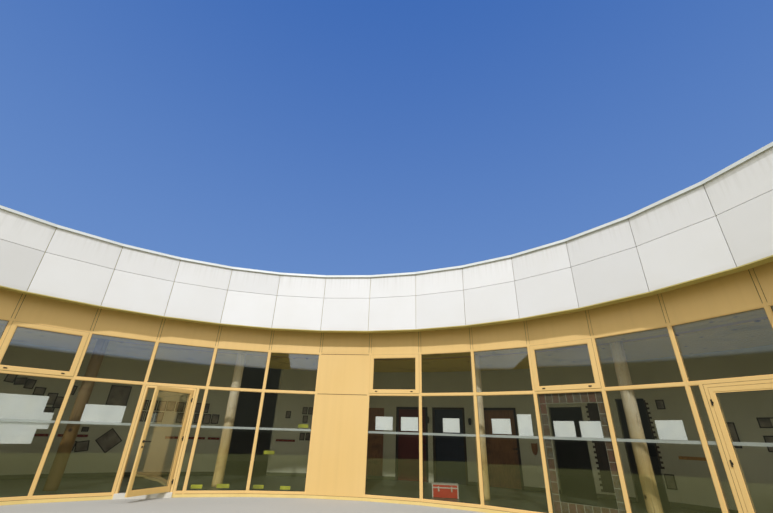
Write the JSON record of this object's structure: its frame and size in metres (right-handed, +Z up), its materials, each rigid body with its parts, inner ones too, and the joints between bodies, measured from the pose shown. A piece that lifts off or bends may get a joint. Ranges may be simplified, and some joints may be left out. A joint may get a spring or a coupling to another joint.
{
  "type": "curved single-storey school building wing with a glazed courtyard front",
  "caption": "Single-storey school wing on a circular arc: glazed gold-framed courtyard front under a tall white fascia, corridor with timber columns, hinged doors.",
  "frame": {"origin": "bottom centre of the bounding box, on the ground", "axes": "+Z up, -Y the side of the courtyard, +X to the right seen from there"},
  "size_m": [33.271, 15.2376, 5.433],
  "materials": {
    "concrete": "cast concrete, pale grey",
    "roof_felt": "grey roofing felt",
    "white_panel": "satin warm white",
    "cap_sheet": "satin warm white sheet",
    "fascia_frame": "satin olive grey",
    "gold_aluminium": "satin champagne gold",
    "clear_glass": "clear sealed units",
    "dark_metal": "satin black",
    "plinth_sheet": "dull sheet metal",
    "timber": "peeled pale trunks, oiled",
    "ceiling_board": "pale boards",
    "inner_plaster": "painted plaster",
    "printed_paper": "card printed with stones",
    "outer_render": "fine warm white render",
    "door_frame_paint": "satin grey",
    "red_paint": "dark red paint",
    "navy_paint": "navy paint",
    "door_veneer": "brown veneer"
  },
  "bodies": {
    "building": {"floor_slab": "concrete", "door_thresholds": "concrete", "roof_deck": "roof_felt", "fascia_panels": "white_panel", "outer_fascia_panels": "white_panel", "fascia_cap": "cap_sheet", "wall_cap": "cap_sheet", "fascia_carrier": "fascia_frame", "mullions": "gold_aluminium", "glazing_rails": "gold_aluminium", "top_window_sashes": "gold_aluminium", "solid_bay_panels": "gold_aluminium", "spandrel_panels": "gold_aluminium", "courtyard_door_frames": "gold_aluminium", "outer_window_frames": "gold_aluminium", "lower_glass": "clear_glass", "upper_glass": "clear_glass", "top_window_glass": "clear_glass", "outer_window_glass": "clear_glass", "top_window_fittings": "dark_metal", "door_hinges": "dark_metal", "plinth_flashing": "plinth_sheet", "timber_columns": "timber", "timber_ring_beam": "timber", "corridor_ceilings": "ceiling_board", "corridor_wall": "inner_plaster", "corridor_wall_lintels": "inner_plaster", "stone_border": "printed_paper", "party_walls": "outer_render", "outer_wall_piers": "outer_render", "outer_wall_aprons": "outer_render", "outer_wall_parapet": "outer_render", "room_door_frames": "door_frame_paint"},
    "left_door": {"left_door_leaf": "gold_aluminium", "left_door_glass": "clear_glass", "left_door_fittings": "dark_metal"},
    "right_door": {"right_door_leaf": "gold_aluminium", "right_door_glass": "clear_glass", "right_door_fittings": "dark_metal"},
    "red_door": {"red_door_leaf": "red_paint", "red_door_fittings": "dark_metal"},
    "navy_door": {"navy_door_leaf": "navy_paint", "navy_door_fittings": "dark_metal"},
    "wood_door": {"wood_door_leaf": "door_veneer", "wood_door_fittings": "dark_metal"}
  },
  "joints": [
    {"name": "left_door_hinge", "type": "hinge", "parent": "building", "child": "left_door", "pos_m": [-4.11372, -3.39122, 1.1], "axis": [0, 0, 1], "range_deg": [-42.5, 47.5]},
    {"name": "right_door_hinge", "type": "hinge", "parent": "building", "child": "right_door", "pos_m": [6.15285, -5.1322, 1.1], "axis": [0, 0, -1], "range_deg": [0, 90]},
    {"name": "red_door_hinge", "type": "hinge", "parent": "building", "child": "red_door", "pos_m": [0.32622, 1.25336, 1.1], "axis": [0, 0, 1], "range_deg": [0, 90]},
    {"name": "navy_door_hinge", "type": "hinge", "parent": "building", "child": "navy_door", "pos_m": [1.53496, 1.16305, 1.1], "axis": [0, 0, 1], "range_deg": [0, 90]},
    {"name": "wood_door_hinge", "type": "hinge", "parent": "building", "child": "wood_door", "pos_m": [3.08636, 0.83291, 1.1], "axis": [0, 0, 1], "range_deg": [0, 90]}
  ]
}
